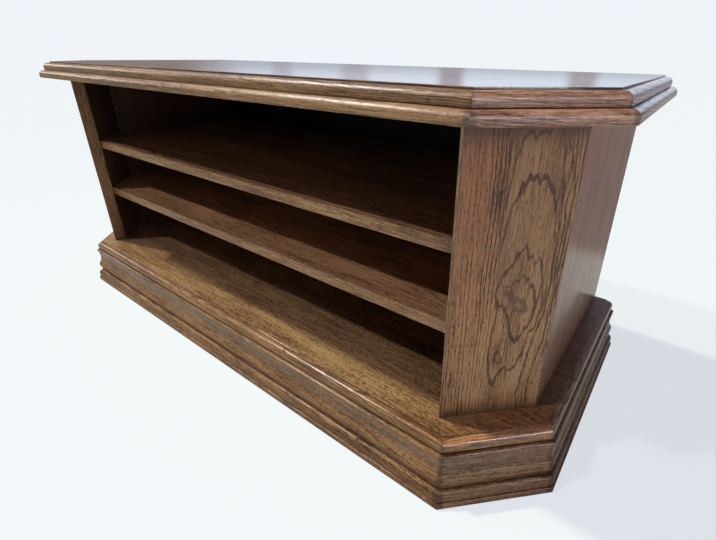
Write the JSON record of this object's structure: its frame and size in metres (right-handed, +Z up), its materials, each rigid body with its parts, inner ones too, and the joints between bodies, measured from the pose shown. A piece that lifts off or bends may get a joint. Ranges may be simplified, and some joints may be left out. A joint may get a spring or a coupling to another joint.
{
  "type": "low tv cabinet",
  "caption": "Low oak television cabinet with canted front corners, open shelf bays, a two-tier moulded top and a moulded plinth.",
  "frame": {"origin": "on the floor, at the middle of the whole outline", "axes": "+X along the width, to the right as seen from the front; +Y to the back, so the open front faces -Y; +Z up"},
  "size_m": [1.336, 0.545, 0.56],
  "materials": {
    "oak_board": "stained oak veneer, satin lacquer",
    "oak_moulding": "stained solid oak, satin lacquer",
    "oak_back": "stained oak-faced board, matt",
    "deal": "sawn softwood, bare",
    "beech": "bare beech",
    "zinc_screws": "zinc plated"
  },
  "bodies": {
    "root": {"top_board": "oak_board", "top_lipping_side_left": "oak_moulding", "top_lipping_cant_left": "oak_moulding", "top_lipping_front": "oak_moulding", "top_lipping_cant_right": "oak_moulding", "top_lipping_side_right": "oak_moulding", "subtop_board": "oak_board", "top_moulding_side_left": "oak_moulding", "top_moulding_cant_left": "oak_moulding", "top_moulding_front": "oak_moulding", "top_moulding_cant_right": "oak_moulding", "top_moulding_side_right": "oak_moulding", "side_panel_left": "oak_board", "side_panel_right": "oak_board", "cant_panel_left": "oak_board", "cant_panel_right": "oak_board", "jamb_lipping_left": "oak_moulding", "jamb_lipping_right": "oak_moulding", "back_panel": "oak_back", "upper_shelf": "oak_board", "upper_shelf_lipping": "oak_moulding", "lower_shelf": "oak_board", "lower_shelf_lipping": "oak_moulding", "base_board": "oak_board", "base_lipping_side_left": "oak_moulding", "base_lipping_cant_left": "oak_moulding", "base_lipping_front": "oak_moulding", "base_lipping_cant_right": "oak_moulding", "base_lipping_side_right": "oak_moulding", "skirting_side_left": "oak_moulding", "skirting_cant_left": "oak_moulding", "skirting_front": "oak_moulding", "skirting_cant_right": "oak_moulding", "skirting_side_right": "oak_moulding", "plinth_back_rail": "deal", "bearer_left": "deal", "bearer_middle": "deal", "bearer_right": "deal", "glue_blocks": "deal", "skirting_biscuits": "beech", "bearer_dowels": "beech", "panel_tongues": "beech", "upper_shelf_dowels": "beech", "lower_shelf_dowels": "beech", "top_dowels": "beech", "base_screws": "zinc_screws", "top_screws": "zinc_screws", "back_panel_screws": "zinc_screws"}
  },
  "joints": []
}
